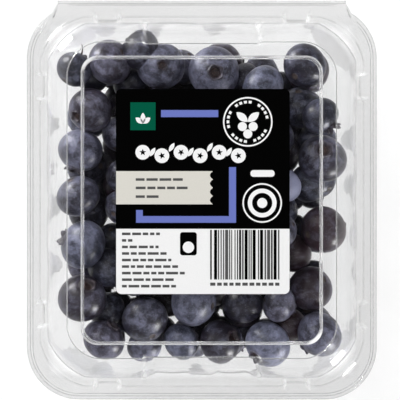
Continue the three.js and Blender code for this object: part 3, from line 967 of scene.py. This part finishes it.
def print_ink(name, colour):
    """Printed colour on coated paper, a little faded between its fibres."""
    material, tree, shader = new_material(name)
    fibre = paper_fibre(tree)
    faded = tuple(channel * 0.97 for channel in colour)
    satin(shader, colour_mix(spread(fibre, 0.35, 0.65), (*faded, 1), (*colour, 1)), fibre)
    return material


def label_stock():
    """Black coated paper with a pale back, as the back shows through the open lid."""
    material, tree, shader = new_material("label_stock")
    low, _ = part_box("label")
    height = axes(object_place(tree))["Z"]
    front = spread(height, low[2] + 0.10 * MM, low[2] + 0.16 * MM)
    fibre = paper_fibre(tree)
    back = colour_mix(fibre, (0.55, 0.55, 0.54, 1), (0.66, 0.66, 0.65, 1))
    satin(shader, colour_mix(front, back, (*INKS["black"], 1)), fibre)
    return material


def floor_paint():
    """A pale table that is also lit from below, as for photographs of clear packs."""
    material, tree, shader = new_material("floor_paint")
    clouds = noise(object_place(tree), 60.0, 2.0)
    set_inputs(
        shader, Base_Color=colour_mix(clouds, (0.31, 0.31, 0.31, 1), (0.33, 0.33, 0.33, 1)),
        Roughness=0.9, Specular_IOR_Level=0.0, Emission_Color=(1.0, 1.0, 1.0, 1),
        Emission_Strength=FLOOR_GLOW)
    return material


# The label's print, as thin raised plates of ink


class Plates:
    """Collects flat plates of ink for one joined mesh."""

    def __init__(self, low):
        self.low = low
        self.verts, self.faces, self.paints = [], [], []

    def loop(self, outline, rise):
        """The numbers of new points over an outline."""
        start = len(self.verts)
        self.verts += [(x + LABEL["x"], y + LABEL["y"], self.low + rise) for x, y in outline]
        return range(start, len(self.verts))

    def painted(self, faces, paint):
        self.faces += faces
        self.paints += [paint] * len(faces)

    def plate(self, outline, level, paint):
        """A closed plate over an outline, its top at a level of ink."""
        loops = [self.loop(outline, rise) for rise in (INK_ROOT, INK * level)]
        self.painted(capped(np.array(loops)), paint)

    def hoop(self, centre, outer, inner, paint, level=2, sides=72):
        """A closed ring of ink."""
        top = INK * level
        places = ((outer, INK_ROOT), (outer, top), (inner, top), (inner, INK_ROOT))
        loops = [self.loop(circle(centre, radius, sides), rise) for radius, rise in places]
        self.painted(bands(np.array(loops + loops[:1])), paint)


def circle(centre, radius, sides=48):
    return [polar(centre, radius, 2 * math.pi * i / sides) for i in range(sides)]


def bar(left, right, low, high):
    return [(left, low), (right, low), (right, high), (left, high)]


def arc_bar(centre, inner, outer, middle, width, steps=3):
    """A short bar bent round a centre. Its middle and width are angles."""
    points = []
    for radius, way in ((inner, 1), (outer, -1)):
        for step in range(steps + 1):
            points.append(polar(centre, radius, middle + way * width * (step / steps - 0.5)))
    return points


def round_bar(left, right, low, high, corner, steps=6):
    """A bar with round corners."""
    points = []
    middles = ((right - corner, high - corner), (left + corner, high - corner),
               (left + corner, low + corner), (right - corner, low + corner))
    for quarter, (x, y) in enumerate(middles):
        for step in range(steps + 1):
            points.append(polar((x, y), corner, (quarter + step / steps) * math.pi / 2))
    return points


def leaf(base, tip, width, steps=10):
    """A pointed leaf from its base to its tip."""
    dx, dy = tip[0] - base[0], tip[1] - base[1]
    length = math.hypot(dx, dy)
    side_x, side_y = -dy / length, dx / length
    one, other = [], []
    for step in range(steps + 1):
        share = step / steps
        half = width / 2 * math.sin(math.pi * share) ** 0.8
        x, y = base[0] + dx * share, base[1] + dy * share
        one.append((x + side_x * half, y + side_y * half))
        other.append((x - side_x * half, y - side_y * half))
    return other + one[-2:0:-1]


def star(centre, outer, inner, turn, points=5):
    return [
        polar(centre, inner if i % 2 else outer, turn + math.pi / 2 + math.pi * i / points)
        for i in range(2 * points)
    ]


def label_print(materials):
    """Fields of colour and simple shapes on the label, without any lettering."""
    _, label_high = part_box("label")
    plates = Plates(label_high[2] / MM)
    chance = np.random.RandomState(LOOK_SEED + 3)
    white, cream, green, blue, grey, black = range(len(INKS))

    def words(left, right, middle, height, longest):
        """A line of short bars, as lines of small print look from a step away."""
        x = left
        while x < right - 0.8:
            end = min(right, x + chance.uniform(1.2, longest))
            plates.plate(bar(x, end, middle - height / 2, middle + height / 2), 3, grey)
            x = end + 0.55

    half_x, half_y = LABEL["half_x"] - 0.05, LABEL["half_y"] - 0.05
    field_top = -11.1
    corner = LABEL["corner"]
    lower = round_bar(-half_x, half_x, -half_y, field_top + corner, corner)
    plates.plate([(x, min(y, field_top)) for x, y in lower], 1, white)
    plates.plate(bar(-21.6, -14.1, 18.3, 26.6), 1, green)
    for angle in (30, 90, 150):
        turn = math.radians(angle)
        tip = (-17.85 + 2.5 * math.cos(turn), 20.6 + 2.9 * math.sin(turn))
        plates.plate(leaf((-17.85, 20.3), tip, 1.5), 2, white)
    # Blue rules: one across the top, and a low bracket that turns up on both sides
    for rule in ((-12.45, 4.6, 22.2, 24.3), (-19.9, 7.8, -9.3, -7.3), (7.8, 9.9, -9.3, 7.3),
                 (-19.9, -17.9, -7.3, -5.5)):
        plates.plate(bar(*rule), 1, blue)
    # Cream strip with a scalloped end
    strip_low, strip_high, strip_end = -3.8, 6.1, 3.0
    strip = [(-half_x, strip_low), (strip_end, strip_low)]
    bites = 4
    bite = (strip_high - strip_low) / bites
    for i in range(bites):
        low = strip_low + bite * i
        for share in (0.2, 0.35, 0.5, 0.65, 0.8):
            strip.append((strip_end - 0.9 * math.sin(math.pi * share), low + bite * share))
        strip.append((strip_end, low + bite))
    strip.append((-half_x, strip_high))
    plates.plate(strip, 2, cream)
    for middle, right in ((3.6, -5.6), (1.1, -4.2), (-1.5, -13.2)):
        words(-20.0, right, middle, 0.75, 5.0)
    # A wavy row of leaves and round fruit in place of a title
    for i in range(6):
        centre = (-17.9 + 5.7 * i, 11.2 + 0.5 * (-1) ** i)
        plates.plate(circle(centre, 2.2), 3, white)
        plates.plate(star(centre, 1.05, 0.46, 0.3 * i), 4, black)
        if i < 5:
            base = (centre[0] + 2.1, centre[1] - 1.2 * (-1) ** i)
            plates.plate(leaf(base, (base[0] + 1.6, base[1] + 2.6), 1.3), 3, white)
    # A ring round a sprig of two leaves and three round berries
    ring_middle = (13.4, 20.8)
    plates.hoop(ring_middle, 7.4, 6.95, white)
    dashes = 26
    for i in range(dashes):
        turn = 2 * math.pi * i / dashes
        if i % 5:
            plates.plate(arc_bar(ring_middle, 5.5, 6.3, turn, 0.15), 2, white)
    for angle in (40, 140):
        plates.plate(leaf(ring_middle, polar(ring_middle, 4.4, math.radians(angle)), 2.2), 2, white)
    for off_x, off_y in ((-1.6, -1.4), (1.6, -1.4), (0.0, -3.6)):
        plates.plate(circle((ring_middle[0] + off_x, ring_middle[1] + off_y), 1.35), 2, white)
    # A small ring with a bar above it
    plates.plate(round_bar(14.2, 21.4, 4.4, 6.4, 0.9), 2, white)
    small = (17.7, -3.4)
    plates.hoop(small, 5.9, 5.45, white)
    plates.hoop(small, 4.3, 3.0, white)
    plates.plate(circle(small, 1.5), 2, white)
    # Small print, a dark tag and upright bars on the white field
    rights = (-12.8, -21.0, -13.2, -9.6, -9.4, -7.4, -5.4, -8.6, -8.0)
    for i, right in enumerate(rights):
        words(-24.1, right, -12.6 - 1.95 * i, 0.75, 3.6)
    plates.plate(round_bar(-6.8, -1.8, -19.0, -12.1, 0.8), 3, black)
    plates.plate(circle((-4.3, -16.6), 1.7), 4, white)
    bars_left, bars_right = 2.2, 22.8
    x = bars_left
    while x < bars_right:
        width = chance.choice([0.3, 0.45, 0.6, 0.9])
        paint = black if chance.uniform() < 0.7 else grey
        plates.plate(bar(x, min(bars_right, x + width), -26.2, field_top - 0.3), 3, paint)
        x += width + chance.choice([0.3, 0.45, 0.7])
    words(bars_left, bars_right, -27.6, 0.9, 1.6)
    made = make_object("label_print", plates.verts, plates.faces, materials, smoothed=False)
    made.data.polygons.foreach_set("material_index", plates.paints)
    return made


# The set


def floor():
    verts = [(x, y, 0) for x, y in bar(-FLOOR_HALF, FLOOR_HALF, -FLOOR_HALF, FLOOR_HALF)]
    made = make_object("floor", verts, [(0, 1, 2, 3)], [floor_paint()], smoothed=False)
    made.visible_diffuse = False
    made.visible_glossy = False


def sky():
    """Soft light from a high ring, dark straight above, so that the lid's flat top stays clear."""
    world = bpy.data.worlds.new("studio")
    bpy.context.scene.world = world
    world.use_nodes = True
    tree = world.node_tree
    height = axes(add(tree, "TexCoord").outputs["Generated"])["Z"]
    level = add(tree, "ValToRGB", Fac=height)
    while len(level.color_ramp.elements) < len(SKY_STOPS):
        level.color_ramp.elements.new(0.5)
    for element, (at, value) in zip(level.color_ramp.elements, SKY_STOPS):
        element.position = at
        element.color = (value, value, value, 1)
    set_inputs(tree.nodes["Background"], Color=level.outputs[0], Strength=SKY_STRENGTH)


def placed(name, data, x, y, z):
    made = bpy.data.objects.new(name, data)
    bpy.context.scene.collection.objects.link(made)
    made.location = (x * MM, y * MM, z * MM)
    return made


def softbox(name, x, y, z, width, height, power):
    """A lit panel that faces the pack."""
    data = bpy.data.lights.new(name, "AREA")
    data.shape = "RECTANGLE"
    data.size = width * MM
    data.size_y = height * MM
    data.energy = power
    made = placed(name, data, x, y, z)
    back = unit(np.array([x, y, z - FLANGE["z"]]))
    right = unit(np.cross([0.0, 0.0, 1.0], back))
    turn = np.column_stack([right, np.cross(back, right), back])
    made.rotation_mode = "QUATERNION"
    made.rotation_quaternion = Matrix(turn.tolist()).to_quaternion()
    return made


def camera():
    data = bpy.data.cameras.new("camera")
    data.sensor_width = SENSOR
    data.lens = SENSOR * CAMERA_REACH / (PICTURE * PIXEL)
    data.clip_start = 0.01
    data.clip_end = 20.0
    x = (PICTURE / 2 - PACK_MIDDLE[0]) * PIXEL
    y = (PACK_MIDDLE[1] - PICTURE / 2) * PIXEL
    bpy.context.scene.camera = placed("camera", data, x, y, FLANGE["z"] + CAMERA_REACH)


camera()
floor()
sky()
for name, numbers in LAMPS.items():
    softbox(name, *numbers).visible_diffuse = name == "light_key"
bpy.context.scene.view_settings.view_transform = "Standard"

tub_plastic = clear_plastic("tub_plastic")
lid_plastic = clear_plastic("lid_plastic")

tub = tub_shell(tub_plastic)
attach(tub, "tub")
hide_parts("base_tub")

lid = lid_shell(lid_plastic)
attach(lid, "cover")
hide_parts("lid")

web = hinge_web(tub_plastic)
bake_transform(web)

skin = berry_skin()
fruit = settle(scatter())
fruit += fill_holes(fruit)
chance = np.random.RandomState(LOOK_SEED)
for name, lower in (("berries_upper", False), ("berries_lower", True)):
    piece = berry_piece(name, [one for one in fruit if one["lower"] == lower], skin, chance)
    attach(piece, "tub")
    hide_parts("berry_heap")

printed = label_print([print_ink("ink_" + name, colour) for name, colour in INKS.items()])
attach(printed, "cover")
paper = label_stock()
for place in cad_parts["label"].material_slots:
    place.material = paper
